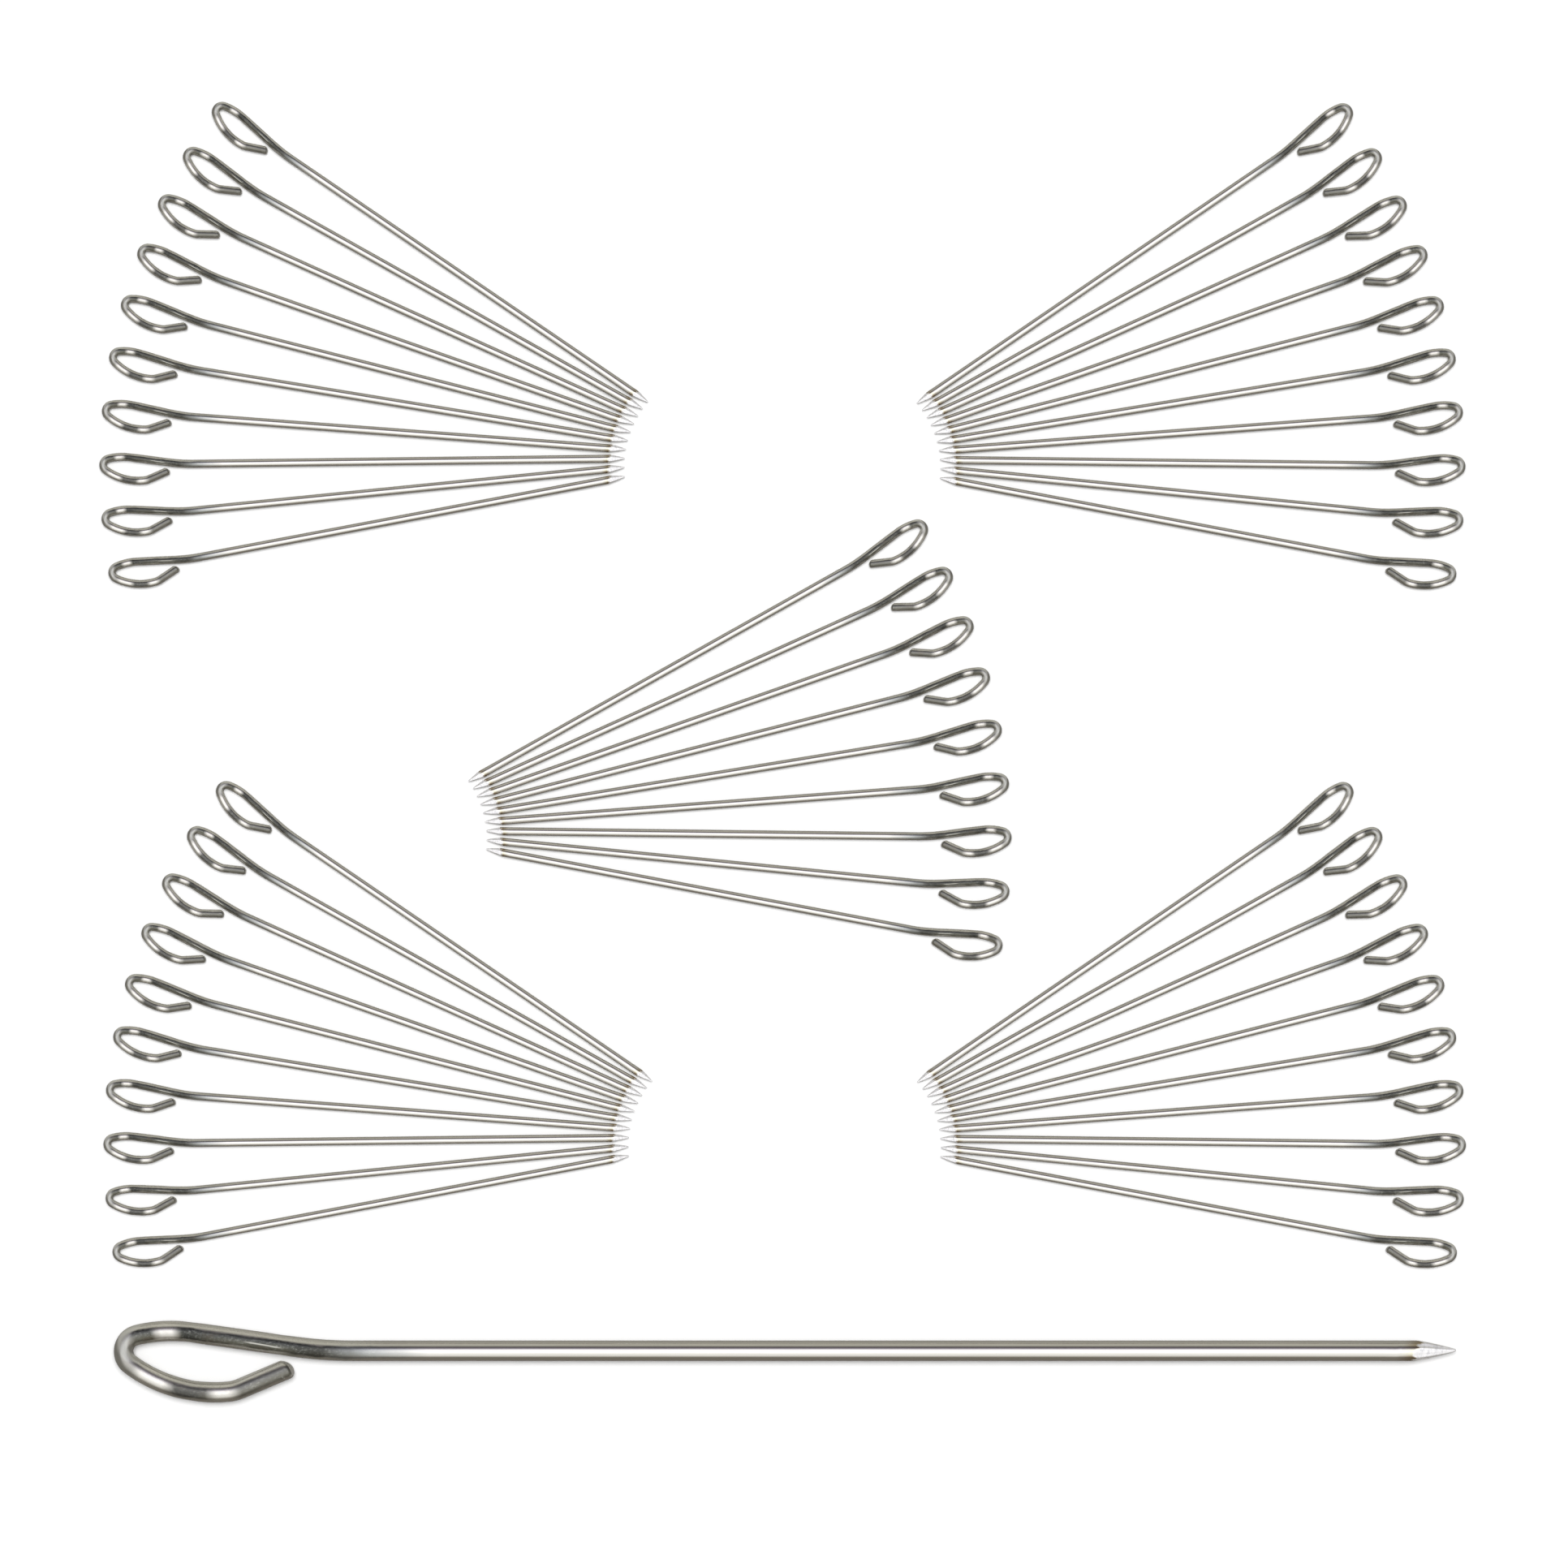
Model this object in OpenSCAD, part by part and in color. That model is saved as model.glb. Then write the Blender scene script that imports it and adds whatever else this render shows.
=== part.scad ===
// A set of lacing needles laid out flat: fans of small needles and one large needle of the same shape.
// Each needle is one steel wire with a ground point at one end and an open teardrop eye at the other.
// The set lies on z = 0, centred on the origin, and each needle is a separate piece.

/* [Needle] */
// Length of a small needle, from the outer end of the eye to the point
needle_length = 115; // [90:1:160]
// Diameter of a small needle's wire
wire_d = 1.75; // [1.2:0.05:1.9]
// Length of the ground point
point_length = 3.2; // [2:0.1:6]
// Diameter of the flat left at the tip of the point
tip_d = 0.2; // [0.1:0.05:0.4]

/* [Eye] */
// Radius of the shallow bend where the shank becomes the eye
neck_radius = 37; // [20:1:60]
// Turn of that shallow bend, away from the open side
neck_angle = 8; // [4:0.5:12]
// Length of the straight side of the eye
side_length = 8.7; // [6:0.1:14]
// Radius of the bend that starts the eye's far end
crown_radius = 13; // [8:0.5:20]
// Turn of that bend
crown_angle = 21.5; // [15:0.5:30]
// Radius of the tight bend at the eye's far end
nose_radius = 1.4; // [1.3:0.05:3]
// Turn of the tight bend
nose_angle = 130; // [110:1:140]
// Radius of the long bend on the open side
sweep_radius = 12.2; // [8:0.1:20]
// Turn of the long bend
sweep_angle = 42.5; // [30:0.5:50]
// Radius of the last bend, which turns the tail back towards the shank
heel_radius = 3; // [2:0.1:6]
// Turn of the last bend
heel_angle = 17; // [8:1:20]
// Length of the straight tail that ends in the cut
tail_length = 4.7; // [3:0.1:5]

/* [Fans] */
// Angle of a fan's first needle below the horizontal
first_angle = 34.3; // [20:0.1:40]
// Angle from each needle to the next
step_angle = 5; // [4.9:0.05:6]
// Distance from a fan's focus to the first needle's point
first_gap = 21.3; // [21:0.1:40]
// Extra distance for each needle after the first
step_gap = 0.19; // [0:0.01:0.5]
// Distance of the upper and lower fans' foci to the left and right of the centre line
focus_x = 11.6; // [8:0.1:30]
// Height of the upper fans' foci above the centre of the set
upper_y = 64.3; // [60:0.1:80]
// Height of the lower fans' foci
lower_y = -84.2; // [-90:0.1:-80]
// Focus of the middle fan, to the right
middle_x = -87.7; // [-95:0.1:-80]
// Focus of the middle fan, upwards
middle_y = -17; // [-20:0.1:-10]

/* [Large needle] */
// How many times larger than a small needle it is
large_scale = 2.552; // [1:0.001:2.6]
// Position of its point to the right
large_x = 147; // [140:0.5:150]
// Position of its axis, upwards
large_y = -130.9; // [-140:0.1:-130]

/* [Hidden] */
$fn = 48;
steel = [0.62, 0.60, 0.55];
needles_in_fan = 10;

// Fans as [name, focus, mirrored, first needle]. A mirrored fan spreads to the right, and the middle
// fan lacks the steepest needle. Each focus is a little off its mark, as a hand laid the fans.
FANS = [
    ["upper_left", [-focus_x - 0.5, upper_y + 0.2], false, 0],
    ["upper_right", [focus_x, upper_y - 0.1], true, 0],
    ["middle", [middle_x, middle_y], true, 1],
    ["lower_left", [-focus_x + 0.4, lower_y + 0.1], false, 0],
    ["lower_right", [focus_x + 0.1, lower_y - 0.1], true, 0],
];

function needle_name(fan, i) = str(fan[0], "_needle_", i - fan[3] + 1);

// Distance along the shank's axis from the start of the neck to the outer end of the eye
nose_heading = crown_angle - neck_angle;
eye_length = neck_radius * sin(neck_angle)
    + side_length * cos(neck_angle)
    + crown_radius * (sin(nose_heading) + sin(neck_angle))
    + nose_radius * (1 - sin(nose_heading))
    + wire_d / 2;
shank_length = needle_length - point_length - eye_length;

// The wire from the ground point's base to the cut end, as lengths of [straight length] or
// [bend radius, turn]. A turn below 0 goes to the right.
WIRE = [
    [shank_length],
    [neck_radius, -neck_angle],
    [side_length],
    [crown_radius, crown_angle],
    [nose_radius, nose_angle],
    [sweep_radius, sweep_angle],
    [heel_radius, heel_angle],
    [tail_length],
];

// Every second length, from the shank on, runs a little way into the lengths beside it, which are
// a hair thicker, so that the wire is one solid
lap = 0.1;
hair = 0.01;

function laps(i) = i % 2 == 0;
function wire_r(i) = wire_d / 2 + (laps(i) ? 0 : hair);

// A straight length of wire that runs along +X from the origin
module straight(length, r, extra) {
    translate([-extra, 0, 0])
        rotate([0, 90, 0])
            cylinder(r = r, h = length + 2 * extra);
}

// A bend in the wire that starts at the origin along +X and turns to the left, or to the right below 0
module bend(radius, turn, r, extra) {
    extra_turn = extra / radius * 180 / PI;
    translate([0, sign(turn) * radius, 0])
        rotate((turn > 0 ? -90 : 90 + turn) - extra_turn)
            rotate_extrude(angle = abs(turn) + 2 * extra_turn)
                translate([radius, 0])
                    circle(r = r);
}

// Moves its children from the start of a length of wire to its end
module after(piece) {
    if (len(piece) == 1) {
        translate([piece[0], 0, 0])
            children();
    } else {
        side = sign(piece[1]);
        translate([0, side * piece[0], 0])
            rotate(piece[1])
                translate([0, -side * piece[0], 0])
                    children();
    }
}

// The wire from its length i to the cut end
module bent_wire(i = 0) {
    piece = WIRE[i];
    extra = laps(i) ? lap : 0;
    if (len(piece) == 1)
        straight(piece[0], wire_r(i), extra);
    else
        bend(piece[0], piece[1], wire_r(i), extra);
    if (i < len(WIRE) - 1)
        after(piece)
            bent_wire(i + 1);
}

// The ground point, with its tip at the origin and its base towards -X
module ground_point() {
    translate([-point_length, 0, 0])
        rotate([0, 90, 0])
            cylinder(r1 = wire_d / 2 + hair, r2 = tip_d / 2, h = point_length);
}

// One needle on z = 0 with its tip over the origin, its point along +X and the eye's open side towards -Y
module needle() {
    color(steel)
        translate([0, 0, wire_d / 2 + hair])
            union() {
                ground_point();
                translate([-point_length, 0, 0])
                    rotate(180)
                        bent_wire();
            }
}

// A small needle on its ray of a fan
module small_needle(fan, i) {
    translate(fan[1])
        mirror([fan[2] ? 1 : 0, 0, 0])
            rotate(i * step_angle - first_angle)
                translate([-first_gap - i * step_gap, 0, 0])
                    needle();
}

module large_needle() {
    translate([large_x, large_y, 0])
        scale(large_scale)
            needle();
}

large_needle();
for (fan = FANS)
    for (i = [fan[3] : needles_in_fan - 1])
        small_needle(fan, i);
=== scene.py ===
"""Looks for the lacing needle set: each needle is a swept steel wire with a ground point and a cut end."""

import math

import bpy
import numpy as np
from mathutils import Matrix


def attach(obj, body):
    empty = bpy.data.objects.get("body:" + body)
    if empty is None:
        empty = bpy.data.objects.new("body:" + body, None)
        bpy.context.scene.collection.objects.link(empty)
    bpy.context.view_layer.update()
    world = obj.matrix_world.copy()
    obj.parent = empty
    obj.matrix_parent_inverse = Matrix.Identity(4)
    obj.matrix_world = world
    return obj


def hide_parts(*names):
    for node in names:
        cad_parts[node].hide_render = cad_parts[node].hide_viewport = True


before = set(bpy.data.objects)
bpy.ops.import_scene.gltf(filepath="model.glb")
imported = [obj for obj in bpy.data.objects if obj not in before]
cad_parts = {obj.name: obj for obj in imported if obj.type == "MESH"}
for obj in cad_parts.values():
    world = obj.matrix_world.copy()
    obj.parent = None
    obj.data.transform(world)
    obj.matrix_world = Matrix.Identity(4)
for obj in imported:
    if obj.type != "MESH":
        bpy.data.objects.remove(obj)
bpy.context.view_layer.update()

MM = 0.001
SURFACE = "steel_wire"


# --- sizes, in millimetres and degrees, as in the CAD part ---------------------------------------

# A small needle has its tip at the origin, its point along +X and the eye's open side towards -Y
NEEDLE_LENGTH = 115
WIRE_R = 0.875
POINT_LENGTH = 3.2
TIP_R = 0.1
AXIS_HEIGHT = 0.885

# Lengths of the eye's wire, as (straight length,) or (bend radius, turn)
NECK = (37, -8)
SIDE = (8.7,)
CROWN = (13, 21.5)
NOSE = (1.4, 130)
SWEEP = (12.2, 42.5)
HEEL = (3, 17)
TAIL = (4.7,)

# Fans as name, focus, mirrored, first needle
FANS = [
    ("upper_left", (-12.1, 64.5), False, 0),
    ("upper_right", (11.6, 64.2), True, 0),
    ("middle", (-87.7, -17.0), True, 1),
    ("lower_left", (-11.2, -84.1), False, 0),
    ("lower_right", (11.7, -84.3), True, 0),
]
NEEDLES_IN_FAN = 10
FIRST_ANGLE = 34.3
STEP_ANGLE = 5
FIRST_GAP = 21.3
STEP_GAP = 0.19

LARGE_SCALE = 2.552
LARGE_TIP = (147.0, -130.9)


def piece_length(piece):
    """Length of wire in a straight piece or a bend."""
    return piece[0] if len(piece) == 1 else piece[0] * math.radians(abs(piece[1]))


def eye_length():
    """Distance along the shank's axis from the start of the neck to the outer end of the eye."""
    neck = math.radians(-NECK[1])
    nose = math.radians(CROWN[1] + NECK[1])
    return (NECK[0] * math.sin(neck)
            + SIDE[0] * math.cos(neck)
            + CROWN[0] * (math.sin(nose) + math.sin(neck))
            + NOSE[0] * (1 - math.sin(nose))
            + WIRE_R)


SHANK = (NEEDLE_LENGTH - POINT_LENGTH - eye_length(),)
NECK_START = POINT_LENGTH + SHANK[0]
NOSE_MIDDLE = NECK_START + sum(piece_length(piece) for piece in (NECK, SIDE, CROWN)) + piece_length(NOSE) / 2


# --- the needle's shape -------------------------------------------------------------------------

# The wire from the point's base to the cut end, with the distance between the mesh's rings
WIRE = [
    (SHANK, 2.0),
    (NECK, 0.8),
    (SIDE, 0.6),
    (CROWN, 0.5),
    (NOSE, 0.13),
    (SWEEP, 0.45),
    (HEEL, 0.3),
    (TAIL, 0.4),
]

# The centre line's step, and over how many steps its curvature is blended
LINE_STEP = 0.02
BLENDED_STEPS = 30

# Closer rings at both ends: places from the tip and back from the cut, the gap between the others,
# and where those start and stop
TIP_RINGS = [0, 0.01, 0.03, 0.06, 0.1, 0.16]
CUT_RINGS = [0.29, 0.24, 0.18, 0.13, 0.09, 0.055, 0.03, 0.012, 0.002]
CLOSE_GAP = 0.12
POINT_RINGS_FROM = 0.25
POINT_RINGS_PAST = 1.6
CUT_RINGS_FROM = 1.3
SMALLEST_GAP = 0.009
SPARE_GAP = 0.05

# Where the bending tool squeezed the wire, as millimetres past the middle of the nose, depth as a
# share of the wire's radius, and width
SQUEEZES = [(0, 0.05, 1.3), (-6.2, 0.035, 0.7), (7.4, 0.03, 0.8), (-14, 0.03, 0.9)]
BULGE = 0.4

# The ground point: a cone with a slight swell, a little off the wire's axis, and the flats that the
# wheel left, as number around the cone, depth and turn in radians
CONE_RISE = 0.72
CONE_SWELL = 0.04
CONE_ASIDE = (-0.045, -0.025)
FLATS = [(3, 0.03, 0.7), (7, 0.035, 2.1), (11, 0.025, 0)]
FLATS_GROW = 1.2
POINT_REACH = 1.7
GROUND_EDGE = 0.03
TIP_ROUNDNESS = 0.0004
TIP_STANDS_OUT = 0.004

# The cut end: a rolled rim, a face that leans back most at the inner corner, and a burr
RIM_LENGTH = 0.3
RIM_SHARE = 0.72
SLANT_LENGTH = 1.4
SLANT_CENTRE = 0.2
SLANT_INNER = -0.42
SLANT_OUTER = -0.25
SLANT_UP = -0.12
SLANT_OFFSET = 0.12
RIPPLE = 0.02
BURR_BACK = 0.85
BURR_AROUND = 2.3
BURR_LENGTH = 0.09
BURR_WIDTH = 0.22
BURR_HEIGHT = 0.09
FACE_RINGS = (0.94, 0.55)
FACE_FROM = 0.02
FACE_DEPTH = 0.05

SHARP_EDGE = 38
GRAIN_SHIFT = np.array([0, 11.0, 5.0])


def wire_line():
    """Distance along the wire from the tip, and the centre line's x, y and heading there."""
    curvature = [np.zeros(round(POINT_LENGTH / LINE_STEP))]
    for piece, _ in WIRE:
        count = round(piece_length(piece) / LINE_STEP)
        turn = 0 if len(piece) == 1 else math.radians(piece[1])
        curvature.append(np.full(count, turn / count / LINE_STEP))
    curvature = np.convolve(np.concatenate(curvature), np.ones(BLENDED_STEPS) / BLENDED_STEPS, mode="same")
    heading = math.pi + np.concatenate([[0], np.cumsum(curvature)]) * LINE_STEP
    x = np.concatenate([[0], np.cumsum(np.cos(heading[:-1]))]) * LINE_STEP
    y = np.concatenate([[0], np.cumsum(np.sin(heading[:-1]))]) * LINE_STEP
    along = np.arange(len(heading)) * LINE_STEP
    return along, x, y, heading


LINE = wire_line()
TOTAL = float(LINE[0][-1])


def stations(fineness):
    """Places of the mesh's rings along the wire."""
    found = list(TIP_RINGS)
    found += list(np.arange(POINT_RINGS_FROM, POINT_LENGTH + POINT_RINGS_PAST, CLOSE_GAP / fineness))
    start = POINT_LENGTH
    for piece, gap in WIRE:
        length = piece_length(piece)
        count = max(2, round(length / gap * fineness))
        found += [start + length * i / count for i in range(count)]
        start += length
    found = sorted(s for s in found if s < TOTAL - CUT_RINGS_FROM - SPARE_GAP)
    kept = [found[0]]
    for s in found[1:]:
        if s - kept[-1] > SMALLEST_GAP:
            kept.append(s)
    back = list(np.arange(CUT_RINGS_FROM, RIM_LENGTH, -CLOSE_GAP / fineness)) + CUT_RINGS
    return np.array(kept + [TOTAL - b for b in back])


def wire_section(s, c, sn):
    """Radius of the bent wire at each place along it and around it."""
    squeeze = np.zeros(len(s))
    for past_nose, depth, width in SQUEEZES:
        squeeze += depth * np.exp(-((s - NOSE_MIDDLE - past_nose) / width) ** 2)
    squeeze = squeeze[:, None]
    return WIRE_R * (1 - squeeze * c ** 2 + BULGE * squeeze * sn ** 2)


def ground_section(s, around, c, sn, radius):
    """Offsets across and up of the wire's surface with its point ground, and how ground it is."""
    depth = s[:, None] / POINT_LENGTH
    cone = TIP_R + CONE_RISE * depth + CONE_SWELL * np.sin(math.pi * np.clip(depth, 0, 1))
    flats = sum(deep * np.sin(number * around + turn) for number, deep, turn in FLATS)
    cone = cone + flats * np.clip(depth * FLATS_GROW, 0, 1)
    tip = np.clip(s / TIP_R, 0, 1)[:, None]
    cone = cone * np.sqrt(np.clip(1 - (1 - tip) ** 2, TIP_ROUNDNESS, 1))
    across = CONE_ASIDE[0] + CONE_ASIDE[1] * depth + cone * c
    upwards = cone * sn
    reach = np.hypot(across, upwards)

    # the cone is cut off where it would stand proud of the wire
    near_point = (s < POINT_LENGTH + POINT_REACH)[:, None]
    ground = np.clip((WIRE_R - reach) / GROUND_EDGE + 0.5, 0, 1) * near_point
    on_wire = (reach > radius) | ~near_point
    shrink = np.where(reach > radius, radius / np.maximum(reach, 1e-9), 1)
    across = np.where(near_point, across * shrink, radius * c)
    upwards = np.where(near_point, upwards * shrink, radius * sn)
    ground = np.where(on_wire, ground, np.maximum(ground, 0.5))
    return across, upwards, ground


def cut_section(s, around, across, upwards):
    """Offsets across, up and forward of the wire's surface with its end sheared off."""
    back = np.clip((TOTAL - s) / RIM_LENGTH, 0, 1)
    rim = (RIM_SHARE + (1 - RIM_SHARE) * np.sqrt(np.clip(1 - (1 - back) ** 2, 0, 1)))[:, None]
    across = across * rim
    upwards = upwards * rim
    slant = np.clip(1 - (TOTAL - s) / SLANT_LENGTH, 0, 1)[:, None] ** 1.5
    bow = across / WIRE_R + SLANT_CENTRE
    lean = np.where(bow > 0, SLANT_INNER, SLANT_OUTER) * bow ** 2 + SLANT_UP * upwards / WIRE_R + SLANT_OFFSET
    forward = slant * (lean + RIPPLE * np.sin(2 * around + 1))
    burr_along = (s[:, None] - TOTAL + BURR_BACK) / BURR_LENGTH
    burr_around = (around - BURR_AROUND) / BURR_WIDTH
    raised = 1 + BURR_HEIGHT * np.exp(-burr_along ** 2 - burr_around ** 2)
    return across * raised, upwards * raised, forward


def needle_shape(fineness, sides):
    """Points, ring count and surface marks of one needle in millimetres, before it is placed.

    The marks are each point's place along, across and up the wire, how ground it is, whether it is on
    the cut, how far it faces +Y, and how far it faces the inside of the eye."""
    line_s, line_x, line_y, line_heading = LINE
    s = stations(fineness)
    x = np.interp(s, line_s, line_x)[:, None]
    y = np.interp(s, line_s, line_y)[:, None]
    heading = np.interp(s, line_s, line_heading)[:, None]
    left = heading + math.pi / 2
    around = np.arange(sides)[None, :] / sides * 2 * math.pi
    c, sn = np.cos(around), np.sin(around)

    across, upwards, ground = ground_section(s, around, c, sn, wire_section(s, c, sn))
    across, upwards, forward = cut_section(s, around, across, upwards)
    px = x + across * np.cos(left) + forward * np.cos(heading)
    py = y + across * np.sin(left) + forward * np.sin(heading)
    points = np.stack([px, py, upwards + AXIS_HEIGHT], axis=-1)
    flat = np.zeros(across.shape)
    marks = {
        "place": np.stack([s[:, None] + flat, across, upwards], axis=-1),
        "ground": ground,
        "cut": flat + (s > TOTAL - FACE_FROM)[:, None],
        "high": c * np.sin(left),
        "side": c + flat,
    }

    # the cut face closes with more rings and a middle point, and the tip with a point
    end = points[-1]
    middle = end.mean(axis=0)
    rings = [points.reshape(-1, 3)]
    rings += [middle + (end - middle) * share for share in FACE_RINGS]
    rings += [middle[None, :], points[0].mean(axis=0)[None, :] + [TIP_STANDS_OUT, 0, 0]]
    closing = {
        "place": [marks["place"][-1] * [1, share, share] + [FACE_DEPTH, 0, 0] for share in FACE_RINGS]
                 + [np.array([[TOTAL + FACE_DEPTH, 0, 0], [0, 0, 0]])],
        "ground": [np.zeros(len(FACE_RINGS) * sides), np.array([0, 1])],
        "cut": [np.ones(len(FACE_RINGS) * sides), np.array([1, 0])],
        "high": [marks["high"][-1] * share for share in FACE_RINGS] + [np.zeros(2)],
        "side": [marks["side"][-1] * share for share in FACE_RINGS] + [np.zeros(2)],
    }
    for label, values in marks.items():
        rows = values.reshape(-1, 3) if label == "place" else values.reshape(-1)
        marks[label] = np.concatenate([rows, *closing[label]])
    return np.concatenate(rings), len(s) + len(FACE_RINGS), marks


def needle_faces(rings, sides, mirrored):
    """Faces of a swept needle: quads between rings, and a fan of triangles at each end."""
    faces = []
    for ring in range(rings - 1):
        for i in range(sides):
            j = (i + 1) % sides
            faces.append((ring * sides + i, ring * sides + j, (ring + 1) * sides + j, (ring + 1) * sides + i))
    middle = rings * sides
    tip = middle + 1
    last = (rings - 1) * sides
    for i in range(sides):
        j = (i + 1) % sides
        faces.append((last + i, last + j, middle))
        faces.append((j, i, tip))
    if mirrored:
        faces = [face[::-1] for face in faces]
    return faces


def placed(points, scale, angle, gap, mirrored, focus):
    """Points of a needle moved to its place in the set, in metres."""
    turn = math.radians(angle)
    x = points[:, 0] - gap
    y = points[:, 1]
    moved = np.stack([
        x * math.cos(turn) - y * math.sin(turn),
        x * math.sin(turn) + y * math.cos(turn),
        points[:, 2],
    ], axis=-1)
    if mirrored:
        moved[:, 0] = -moved[:, 0]
    return (moved * scale + [focus[0], focus[1], 0]) * MM


def make_needle(name, shape, sides, material, count, mirrored=False, **where):
    """One needle that stands for the CAD node of that name."""
    points, rings, marks = shape
    mesh = bpy.data.meshes.new(name + "_wire")
    mesh.from_pydata(placed(points, mirrored=mirrored, **where).tolist(), [],
                     needle_faces(rings, sides, mirrored))
    # each needle has its own part of the grain
    own = {"along": marks["place"][:, 0], **marks, "place": marks["place"] + GRAIN_SHIFT * count}
    for label, values in own.items():
        vector = values.ndim == 2
        attribute = mesh.attributes.new(label, "FLOAT_VECTOR" if vector else "FLOAT", "POINT")
        attribute.data.foreach_set("vector" if vector else "value",
                                   np.ascontiguousarray(values, dtype=np.float32).reshape(-1))
    mesh.shade_smooth()
    mesh.set_sharp_from_angle(angle=math.radians(SHARP_EDGE))
    mesh.materials.append(material)
    needle = bpy.data.objects.new(name + "_wire", mesh)
    bpy.context.scene.collection.objects.link(needle)
    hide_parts(name)
    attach(needle, name)


# --- shader helpers -----------------------------------------------------------------------------

def node(tree, kind, inputs=(), **settings):
    """A shader node with its settings, and its inputs set to values or linked to sockets."""
    made = tree.nodes.new(kind)
    for key, value in settings.items():
        setattr(made, key, value)
    for key, value in dict(inputs).items():
        if isinstance(value, bpy.types.NodeSocket):
            tree.links.new(value, made.inputs[key])
        else:
            made.inputs[key].default_value = value
    return made


def maths(tree, operation, *values):
    """One sum of a shader's numbers."""
    return node(tree, "ShaderNodeMath", enumerate(values), operation=operation).outputs[0]


def times(tree, *values):
    """Product of two or more numbers."""
    product = values[0]
    for value in values[1:]:
        product = maths(tree, "MULTIPLY", product, value)
    return product


def between(tree, value, low, high, to_low=0.0, to_high=1.0, kind="SMOOTHSTEP"):
    """Value's place from low to high, as a number from to_low to to_high."""
    return node(tree, "ShaderNodeMapRange", {0: value, 1: low, 2: high, 3: to_low, 4: to_high},
                interpolation_type=kind).outputs[0]


def colour_ramp(tree, value, stops):
    """Colour of a number from 0 to 1, through stops of (position, colour)."""
    ramp = node(tree, "ShaderNodeValToRGB", {0: value})
    elements = ramp.color_ramp.elements
    while len(elements) > 1:
        elements.remove(elements[-1])
    elements[0].position = 0
    for i, (position, colour) in enumerate(stops):
        element = elements[0] if i == 0 else elements.new(position)
        element.color = (*colour, 1)
    return ramp.outputs[0]


def blend(tree, share, first, second):
    """Mix of two colours, each an (r, g, b) or a socket."""
    ends = [end if isinstance(end, bpy.types.NodeSocket) else (*end, 1) for end in (first, second)]
    return node(tree, "ShaderNodeMix", {0: share, 6: ends[0], 7: ends[1]}, data_type="RGBA").outputs[2]


def noise(tree, vector, stretch, detail=4, roughness=0.55):
    """Noise over the wire's own places, with its scale along and across the wire."""
    scaled = node(tree, "ShaderNodeVectorMath", {0: vector, 1: (stretch[0], stretch[1], stretch[1])},
                  operation="MULTIPLY").outputs[0]
    return node(tree, "ShaderNodeTexNoise", {"Vector": scaled, "Scale": 1.0, "Detail": detail,
                                             "Roughness": roughness}).outputs["Fac"]


# --- material -----------------------------------------------------------------------------------

# Colours of the bright wire
BRIGHT = (0.62, 0.60, 0.55)
BRIGHT_DARKER = (0.50, 0.485, 0.45)
STREAK = (0.70, 0.69, 0.66)
# painted light for the eye's side that faces +Y
EYE_PAINTED_LIGHT = (0.76, 0.745, 0.685)
PIT = (0.38, 0.36, 0.31)

# Colours of the painted shade on the eye's flank, with its lighter flecks and a painted bluish reflection
SHADE_LOWER = (0.105, 0.101, 0.078)
SHADE_UPPER = (0.070, 0.072, 0.066)
SHADE_BROWN = (0.120, 0.090, 0.060)
# the darkest painted shade
DARKEST_SHADE_COLOUR = (0.040, 0.040, 0.036)
FLECK = (0.25, 0.255, 0.23)
# a painted bluish reflection where the painted shade fades in near the neck
PAINTED_BLUE_REFLECTION = (0.28, 0.35, 0.40)

# Colours of what the tool and the wheel left, some with painted light and shade in them, and two painted
# highlights
# a thin painted highlight on the eye's flank
FLANK_HIGHLIGHT = (0.46, 0.45, 0.40)
# the scuff's painted shade in the wire's middle and painted light at its edges
SCUFF_PAINTED_SHADE = (0.39, 0.39, 0.36)
SCUFF_PAINTED_LIGHT = (0.80, 0.80, 0.75)
# a painted highlight on the tail's side that faces +Y
TAIL_HIGHLIGHT = (0.95, 0.95, 0.91)
# heat tint in lit and shaded copies: painted light in the yellow, painted shade in the brown
HEAT_TINT_LIT = (0.62, 0.60, 0.44)
HEAT_TINT_SHADED = (0.34, 0.26, 0.15)
GROUND_GREY = (0.76, 0.76, 0.77)
GROUND_PALE = (0.98, 0.975, 0.97)
SHEARED_DARK = (0.48, 0.47, 0.43)
SHEARED_PALE = (0.80, 0.79, 0.75)

# How far the wire's flank is roughened and painted with shade from the neck to the cut end, as millimetres
# past the neck's start and a share. The painted shade leaves three gaps.
DULL_AND_PAINTED_SHADE = [
    (-6.5, 0.0), (-4.4, 0.22), (-2.9, 0.36), (-1.4, 0.55), (0.2, 0.80), (2.8, 1.0), (14.9, 1.0), (15.7, 0.10),
    (16.7, 0.10), (17.5, 1.0), (18.9, 0.95), (19.8, 0.60), (22.3, 0.60), (23.2, 0.05),
    (25.2, 0.03), (26.3, 0.92), (29.0, 0.92), (29.95, 0.03), (30.8, 0.05), (32.0, 0.84), (36.8, 0.88),
]

# The darkest painted shade on that flank, in the same form
DARKEST_SHADE = [
    (0.0, 0.0), (1.8, 0.75), (4.6, 0.75), (6.0, 0.15), (12.4, 0.25), (13.8, 0.95), (14.6, 0.95), (15.2, 0.0),
    (24.9, 0.0), (26.4, 1.0), (28.2, 1.0), (29.4, 0.0),
]

# The scuff crosses the wire aslant, this many millimetres past the neck's start at the wire's middle,
# and so much further at its inner side
SCUFF_AT = 20.45
SCUFF_SLANT = 1.85

BUMP_HEIGHT = 0.02


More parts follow.
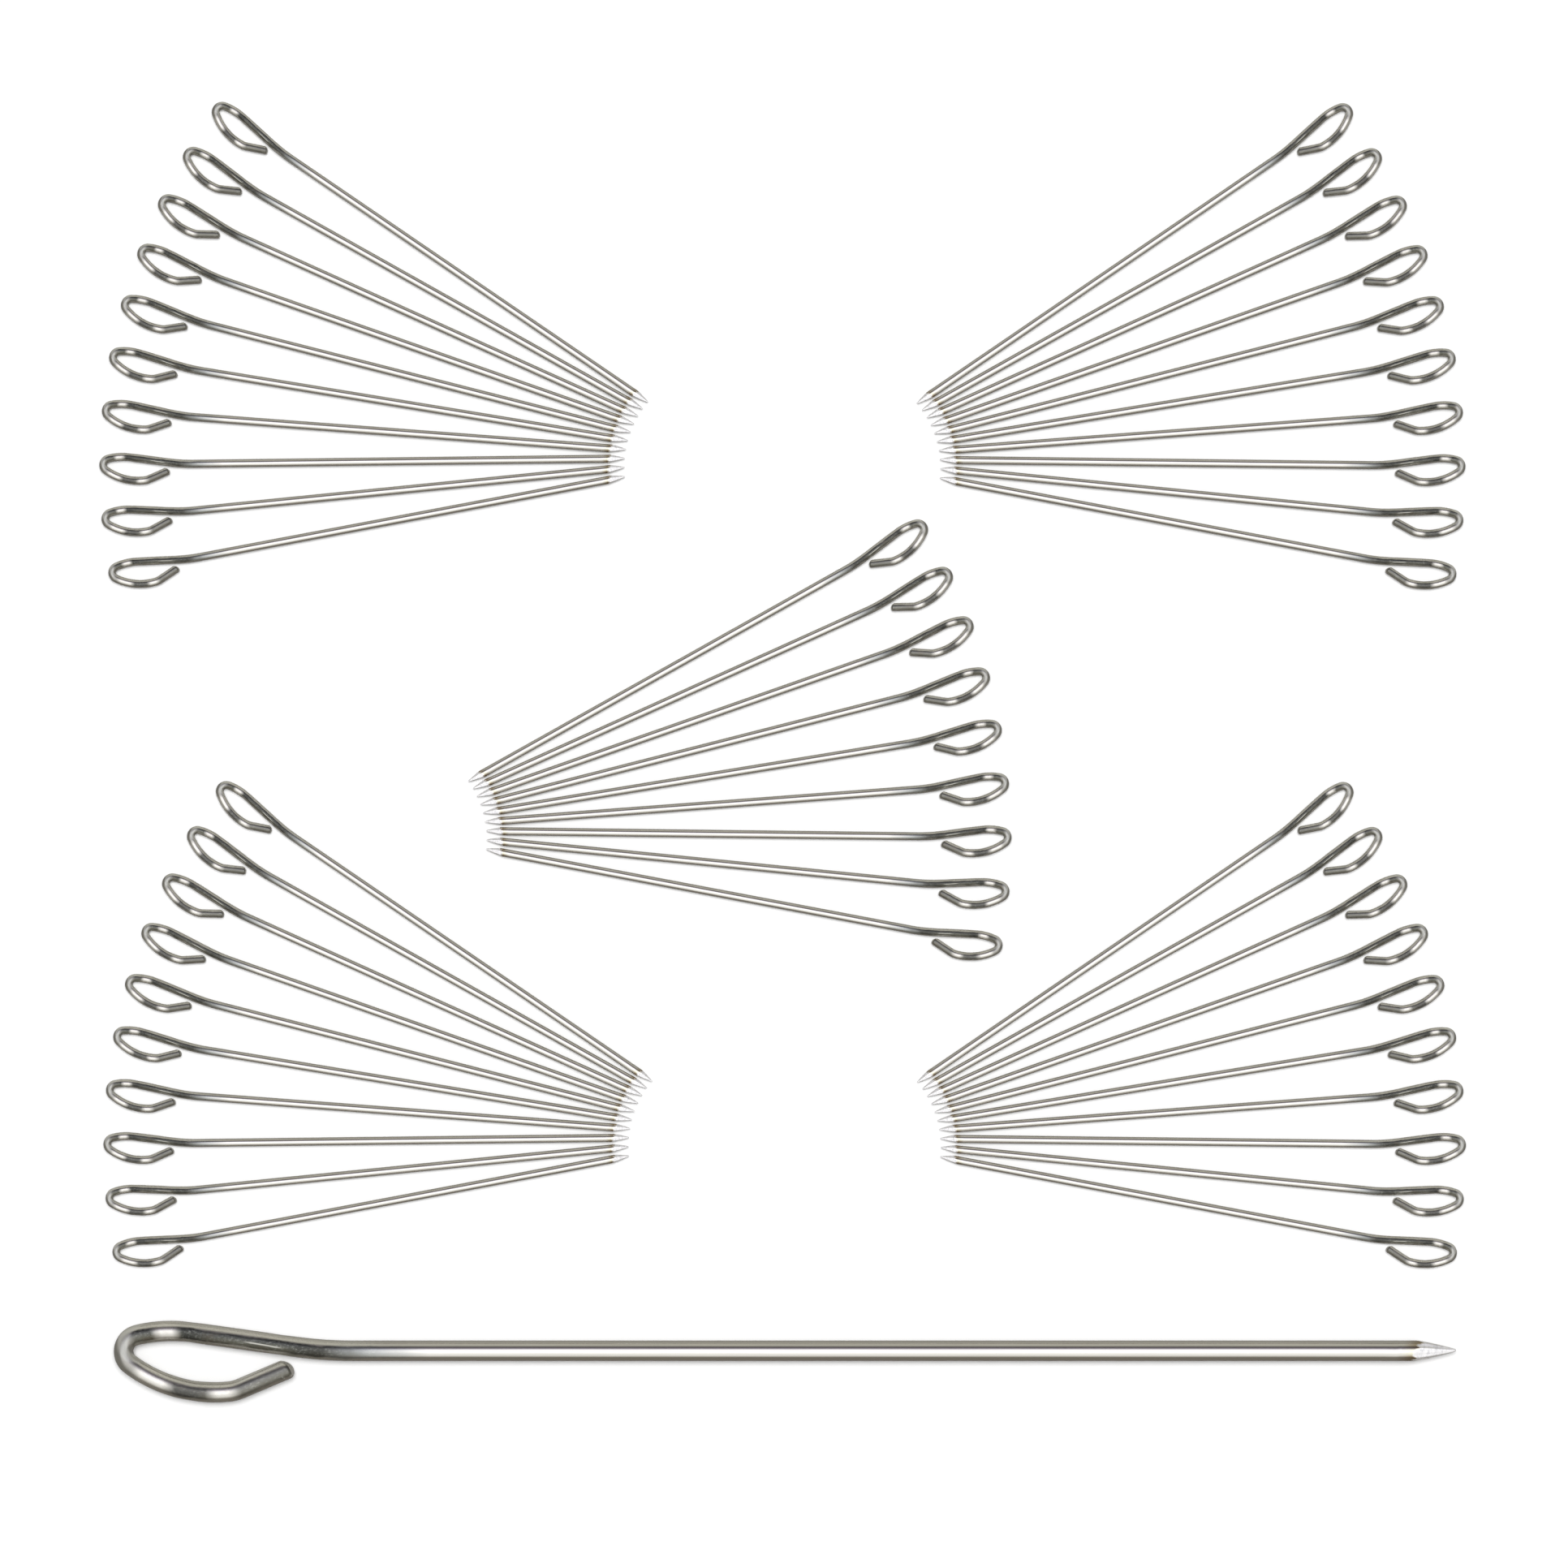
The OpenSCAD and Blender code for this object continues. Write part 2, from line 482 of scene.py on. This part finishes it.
def steel():
    """Drawn stainless wire: bright on the shank, scuffed and darkened with painted shade and light round the
    eye, pale at the point.
    """
    material = bpy.data.materials.new(SURFACE)
    material.use_nodes = True
    tree = material.node_tree
    shader = tree.nodes["Principled BSDF"]

    def read(name, output="Fac"):
        return node(tree, "ShaderNodeAttribute", attribute_name=name).outputs[output]

    place = read("place", "Vector")
    along = read("along")
    ground = read("ground")
    cut = read("cut")
    high = read("high")
    side = read("side")

    grain = noise(tree, place, (0.12, 6.0), detail=6, roughness=0.6)
    streaks = noise(tree, place, (0.35, 14.0), detail=3)
    patches = noise(tree, place, (0.5, 0.9), detail=3)
    pits = noise(tree, place, (4.0, 6.5), detail=4, roughness=0.65)
    scratches = noise(tree, place, (3.2, 1.7), detail=6, roughness=0.75)

    # places along the eye's wire and up its side, with ragged edges
    ragged = maths(tree, "MULTIPLY_ADD", patches, 0.9, -0.45)
    past_neck = maths(tree, "ADD", maths(tree, "SUBTRACT", along, NECK_START), ragged)
    level = maths(tree, "MULTIPLY_ADD", patches, 0.5, maths(tree, "ADD", high, -0.25))
    eye = between(tree, along, NECK_START - 3.0, NECK_START + 1.0)

    def along_eye(stops):
        first, last = stops[0][0], stops[-1][0]
        share = between(tree, past_neck, first, last, kind="LINEAR")
        return colour_ramp(tree, share, [((at - first) / (last - first), (grey,) * 3) for at, grey in stops])

    # the bright wire, with painted light on the eye's side that faces +Y
    base = blend(tree, times(tree, between(tree, grain, 0.35, 0.7), 0.3), BRIGHT, BRIGHT_DARKER)
    base = blend(tree, times(tree, between(tree, streaks, 0.5, 0.75), 0.25), base, STREAK)
    base = blend(tree, times(tree, eye, between(tree, high, 0.3, 0.7)), base, EYE_PAINTED_LIGHT)
    base = blend(tree, times(tree, eye, between(tree, pits, 0.5, 0.75), 0.4), base, PIT)

    # painted shade on the eye's flank, from a little above the wire's middle down to its lower edge
    flank = times(tree, between(tree, level, 0.32, 0.56, 1.0, 0.10),
                  between(tree, level, -0.82, -0.52, 0.15, 1.0))
    dull_and_painted_shade = times(tree, along_eye(DULL_AND_PAINTED_SHADE), flank)
    deep = blend(tree, between(tree, level, -0.45, 0.15), SHADE_LOWER, SHADE_UPPER)
    deep = blend(tree, times(tree, between(tree, patches, 0.55, 0.75), 0.45), deep, SHADE_BROWN)
    # the darkest painted shade, strongest towards the wire's lower side
    darkest_shade_mask = times(tree, along_eye(DARKEST_SHADE), between(tree, level, -0.10, 0.25, 1.0, 0.3))
    deep = blend(tree, darkest_shade_mask, deep, DARKEST_SHADE_COLOUR)
    flecks = times(tree, between(tree, pits, 0.46, 0.74), between(tree, patches, 0.3, 0.6, 0.9, 0.35))
    base = blend(tree, dull_and_painted_shade, base, blend(tree, flecks, deep, FLECK))
    # a painted bluish reflection where the painted shade fades in near the neck
    blue_reflection = times(tree, dull_and_painted_shade, maths(tree, "SUBTRACT", 1.0, dull_and_painted_shade),
                      between(tree, past_neck, 0.5, 3.0, 0.8, 0.0))
    base = blend(tree, blue_reflection, base, PAINTED_BLUE_REFLECTION)

    # one thin painted highlight along the flank
    highlight_line = maths(tree, "MULTIPLY_ADD", past_neck, -0.035, maths(tree, "ADD", high, 0.45))
    flank_highlight = times(tree, between(tree, maths(tree, "ABSOLUTE", highlight_line), 0.03, 0.10, 1.0, 0.0),
                   between(tree, past_neck, 5.8, 6.6), between(tree, past_neck, 8.4, 9.6, 1.0, 0.0))
    base = blend(tree, times(tree, flank_highlight, 0.8), base, FLANK_HIGHLIGHT)

    # the tight bend has a matte scuff in a slanting band, with painted shade in the wire's middle and painted
    # light at its edges, and the tail's side that faces +Y has a painted highlight
    from_scuff = maths(tree, "MULTIPLY_ADD", side, -SCUFF_SLANT, maths(tree, "ADD", past_neck, -SCUFF_AT))
    scuff_and_shading = between(tree, maths(tree, "ABSOLUTE", from_scuff), 0.5, 1.3, 0.85, 0.0)
    scuff_shading = blend(tree, between(tree, maths(tree, "ABSOLUTE", side), 0.1, 0.7), SCUFF_PAINTED_SHADE, SCUFF_PAINTED_LIGHT)
    base = blend(tree, scuff_and_shading, base, scuff_shading)
    # painted highlight on the tail's side that faces +Y
    tail_highlight = times(tree, between(tree, past_neck, 31.0, 33.0), between(tree, high, 0.45, 0.75, 0.0, 0.85))
    base = blend(tree, tail_highlight, base, TAIL_HIGHLIGHT)

    # heat from the wheel colours the wire just behind the ground point, as yellow with painted light along
    # the wire's middle and brown with painted shade towards its +Y and -Y sides
    ragged_edge = maths(tree, "MULTIPLY_ADD", patches, 0.6, maths(tree, "MULTIPLY_ADD", high, 0.42, -0.3))
    past_tip = maths(tree, "ADD", along, ragged_edge)
    heat = times(tree, between(tree, past_tip, POINT_LENGTH - 0.6, POINT_LENGTH - 0.1),
                 between(tree, past_tip, POINT_LENGTH + 0.2, POINT_LENGTH + 1.9, 1.0, 0.0))
    off_middle = maths(tree, "ABSOLUTE", maths(tree, "ADD", high, 0.1))
    heat_tint_lit_and_shaded = blend(tree, between(tree, off_middle, 0.2, 0.5), HEAT_TINT_LIT, HEAT_TINT_SHADED)
    base = blend(tree, times(tree, heat, 0.85), base, heat_tint_lit_and_shaded)

    # the ground point and the cut face
    scratched = blend(tree, between(tree, scratches, 0.34, 0.56), GROUND_GREY, GROUND_PALE)
    base = blend(tree, ground, base, scratched)
    sheared = blend(tree, between(tree, pits, 0.35, 0.65), SHEARED_DARK, SHEARED_PALE)
    base = blend(tree, cut, base, sheared)
    tree.links.new(base, shader.inputs["Base Color"])

    rough = maths(tree, "MULTIPLY_ADD", grain, 0.10, 0.12)
    rough = maths(tree, "MULTIPLY_ADD", times(tree, eye, patches), 0.16, rough)
    rough = maths(tree, "MULTIPLY_ADD", dull_and_painted_shade, 0.12, rough)
    rough = maths(tree, "MAXIMUM", rough, maths(tree, "MULTIPLY_ADD", ground, 0.48, 0.14))
    for worn in (cut, scuff_and_shading):
        rough = maths(tree, "MAXIMUM", rough, times(tree, worn, 0.5))
    tree.links.new(rough, shader.inputs["Roughness"])
    shader.inputs["Metallic"].default_value = 1.0

    height = times(tree, grain, 0.35)
    for factors in ((pits, dull_and_painted_shade, 1.1), (pits, eye, 0.35), (scratches, ground, 1.2)):
        height = maths(tree, "ADD", height, times(tree, *factors))
    bump = node(tree, "ShaderNodeBump", {"Height": height, "Strength": 0.5, "Distance": BUMP_HEIGHT * MM})
    tree.links.new(bump.outputs[0], shader.inputs["Normal"])
    return material


# --- floor, light and camera --------------------------------------------------------------------

FLOOR_HALF_SIZE = 20
FLOOR_COLOUR = (0.88, 0.88, 0.88, 1)

# What the wire mirrors round the X axis, as degrees from straight up towards +Y, and a colour: a wide
# white panel overhead, a dark gap beside it and a grey one beyond
STUDIO = [
    (-180, (0.26, 0.25, 0.24)),
    (-85, (0.25, 0.23, 0.20)),
    (-73, (0.33, 0.31, 0.28)),
    (-62, (0.80, 0.79, 0.76)),
    (-50, (1.25, 1.25, 1.24)),
    (-30, (1.40, 1.42, 1.45)),
    (-14, (2.0, 2.0, 2.05)),
    (8, (2.0, 2.0, 2.1)),
    (17, (1.30, 1.28, 1.46)),
    (25, (0.55, 0.52, 0.63)),
    (35, (0.19, 0.17, 0.21)),
    (44, (0.14, 0.13, 0.14)),
    (54, (0.30, 0.29, 0.28)),
    (63, (0.68, 0.67, 0.61)),
    (78, (0.64, 0.63, 0.57)),
    (105, (0.48, 0.47, 0.43)),
    (150, (0.36, 0.35, 0.32)),
    (180, (0.26, 0.25, 0.24)),
]

# The panels' colour to the left and right, which takes over between these shares of the way there
ASIDE = (0.50, 0.49, 0.47)
ASIDE_FROM = 0.45
ASIDE_TO = 0.7

WHITE = (1, 1, 1, 1)
DOME_STRENGTH = 0.41
SUN_STRENGTH = 2.63
SUN_ANGLE = 36
SUN_TILT = -12

# The view is VIEW_WIDTH wide on the level that lies VIEW_HEIGHT above the floor
VIEW_WIDTH = 342.9
VIEW_CENTRE = (0.1, -7.0)
VIEW_HEIGHT = 1.6
LENS = 200
SENSOR = 36


def floor():
    """A plain pale surface under the needles, which the wire doesn't mirror."""
    corners = [(x * FLOOR_HALF_SIZE, y * FLOOR_HALF_SIZE, 0) for x, y in ((-1, -1), (1, -1), (1, 1), (-1, 1))]
    mesh = bpy.data.meshes.new("floor")
    mesh.from_pydata(corners, [], [(0, 1, 2, 3)])
    sheet = bpy.data.objects.new("floor", mesh)
    bpy.context.scene.collection.objects.link(sheet)
    material = bpy.data.materials.new("floor")
    material.use_nodes = True
    shader = material.node_tree.nodes["Principled BSDF"]
    shader.inputs["Base Color"].default_value = FLOOR_COLOUR
    shader.inputs["Roughness"].default_value = 1.0
    shader.inputs["Specular IOR Level"].default_value = 0.0
    mesh.materials.append(material)
    sheet.visible_glossy = False


def studio():
    """Even light for the floor, the panels for what the wire mirrors, and white for the backdrop."""
    world = bpy.data.worlds.new("studio")
    bpy.context.scene.world = world
    world.use_nodes = True
    tree = world.node_tree
    tree.nodes.clear()

    def background(colour, strength=1.0):
        return node(tree, "ShaderNodeBackground", {0: colour, 1: strength}).outputs[0]

    direction = node(tree, "ShaderNodeTexCoord").outputs["Generated"]
    split = node(tree, "ShaderNodeSeparateXYZ", {0: direction}).outputs
    tilt = maths(tree, "ARCTAN2", split["Y"], split["Z"])
    share = maths(tree, "MULTIPLY_ADD", tilt, 0.5 / math.pi, 0.5)
    panels = colour_ramp(tree, share, [((degrees + 180) / 360, colour) for degrees, colour in STUDIO])
    beside = between(tree, maths(tree, "ABSOLUTE", split["X"]), ASIDE_FROM, ASIDE_TO)
    mirrored = background(blend(tree, beside, panels, ASIDE))
    dome = background(WHITE, DOME_STRENGTH)
    backdrop = background(WHITE)
    ray = node(tree, "ShaderNodeLightPath").outputs
    lit = node(tree, "ShaderNodeMixShader", {0: ray["Is Glossy Ray"], 1: dome, 2: mirrored}).outputs[0]
    seen = node(tree, "ShaderNodeMixShader", {0: ray["Is Camera Ray"], 1: lit, 2: backdrop}).outputs[0]
    node(tree, "ShaderNodeOutputWorld", {0: seen})


def sun():
    """A broad soft light from above and a little from +Y."""
    lamp = bpy.data.lights.new("key", "SUN")
    lamp.energy = SUN_STRENGTH
    lamp.angle = math.radians(SUN_ANGLE)
    key = bpy.data.objects.new("key", lamp)
    key.rotation_euler = (math.radians(SUN_TILT), 0, 0)
    key.visible_glossy = False
    bpy.context.scene.collection.objects.link(key)


def camera():
    """Straight above the set, through a long lens."""
    optics = bpy.data.cameras.new("camera")
    optics.lens = LENS
    optics.sensor_width = SENSOR
    made = bpy.data.objects.new("camera", optics)
    height = VIEW_WIDTH * LENS / SENSOR + VIEW_HEIGHT
    made.location = (VIEW_CENTRE[0] * MM, VIEW_CENTRE[1] * MM, height * MM)
    bpy.context.scene.collection.objects.link(made)
    bpy.context.scene.camera = made


# --- the set ------------------------------------------------------------------------------------

LARGE_FINENESS = 2
LARGE_SIDES = 48
SMALL_FINENESS = 1
SMALL_SIDES = 24

wire = steel()
large_shape = needle_shape(LARGE_FINENESS, LARGE_SIDES)
make_needle("large_needle", large_shape, LARGE_SIDES, wire, 0,
            scale=LARGE_SCALE, angle=0, gap=0, focus=LARGE_TIP)
small_shape = needle_shape(SMALL_FINENESS, SMALL_SIDES)
count = 1
for fan, focus, mirrored, first in FANS:
    for i in range(first, NEEDLES_IN_FAN):
        make_needle(f"{fan}_needle_{i - first + 1}", small_shape, SMALL_SIDES, wire, count, mirrored,
                    scale=1, angle=i * STEP_ANGLE - FIRST_ANGLE, gap=FIRST_GAP + i * STEP_GAP, focus=focus)
        count += 1

floor()
studio()
sun()
camera()
bpy.context.scene.view_settings.view_transform = "Standard"
